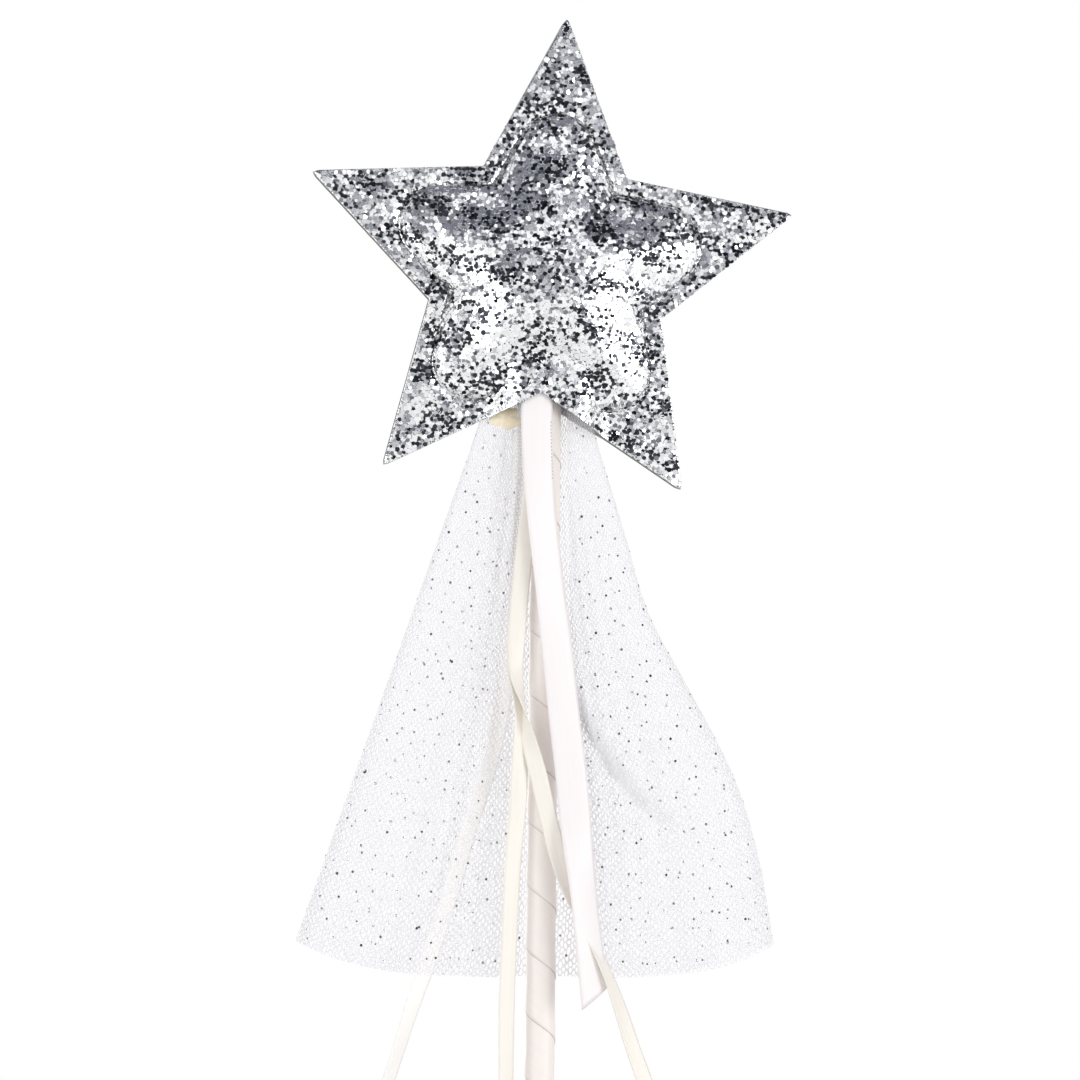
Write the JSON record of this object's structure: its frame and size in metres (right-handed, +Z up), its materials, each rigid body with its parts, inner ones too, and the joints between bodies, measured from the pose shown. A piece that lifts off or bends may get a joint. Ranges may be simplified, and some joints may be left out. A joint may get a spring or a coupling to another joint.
{
  "type": "toy magic wand",
  "caption": "Fairy wand with a padded glitter star on a satin-wrapped stick, a gathered dotted tulle skirt and loose ribbon tails that swing.",
  "frame": {"origin": "centre of the stick at its grip end", "axes": "+Z up the stick to the star, -Y out of the star's front, +X to the right seen from the front"},
  "size_m": [0.1474, 0.0262, 0.4224],
  "materials": {
    "dowel_wood": "raw birch end grain",
    "wrap_satin": "off-white satin ribbon",
    "white_satin": "white satin ribbon",
    "cream_satin": "cream satin ribbon",
    "glitter_sheet": "silver chunky glitter on a leatherette backing",
    "core_card": "cut card edge",
    "pad_filling": "polyester wadding",
    "dotted_tulle": "white net with small silver dots",
    "amber_glue": "hot-melt glue"
  },
  "bodies": {
    "wand": {"dowel_core": "dowel_wood", "ribbon_wrap": "wrap_satin", "wrap_end_band": "wrap_satin", "star_front_cover": "glitter_sheet", "star_back_cover": "glitter_sheet", "star_front_padding": "pad_filling", "star_back_padding": "pad_filling", "star_core_board": "core_card", "tulle_heading": "dotted_tulle", "white_ribbon_head": "white_satin", "cream_ribbon_heads": "cream_satin", "glue_dab": "amber_glue"},
    "tulle_skirt": {"tulle_skirt": "dotted_tulle"},
    "white_ribbon": {"white_ribbon_tail": "white_satin"},
    "cream_left": {"cream_left_tail": "cream_satin"},
    "cream_middle": {"cream_middle_tail": "cream_satin"},
    "cream_right": {"cream_right_tail": "cream_satin"}
  },
  "joints": [
    {"name": "skirt_swing", "type": "hinge", "parent": "wand", "child": "tulle_skirt", "pos_m": [0, 0.006, 0.29188], "axis": [1, 0, 0], "range_deg": [0, 40]},
    {"name": "white_swing", "type": "hinge", "parent": "wand", "child": "white_ribbon", "pos_m": [-0.0037, -0.00605, 0.29988], "axis": [-1, 0, 0], "range_deg": [0, 70]},
    {"name": "cream_middle_swing", "type": "hinge", "parent": "wand", "child": "cream_middle", "pos_m": [-0.0042, -0.00505, 0.29988], "axis": [0, 1, 0], "range_deg": [-10, 10]},
    {"name": "cream_right_swing", "type": "hinge", "parent": "wand", "child": "cream_right", "pos_m": [-0.0043, -0.00555, 0.29988], "axis": [0, 1, 0], "range_deg": [-10, 8]},
    {"name": "cream_left_swing", "type": "hinge", "parent": "tulle_skirt", "child": "cream_left", "pos_m": [-0.0079, 0.0006, 0.29138], "axis": [0, 1, 0], "range_deg": [0, 10]}
  ]
}
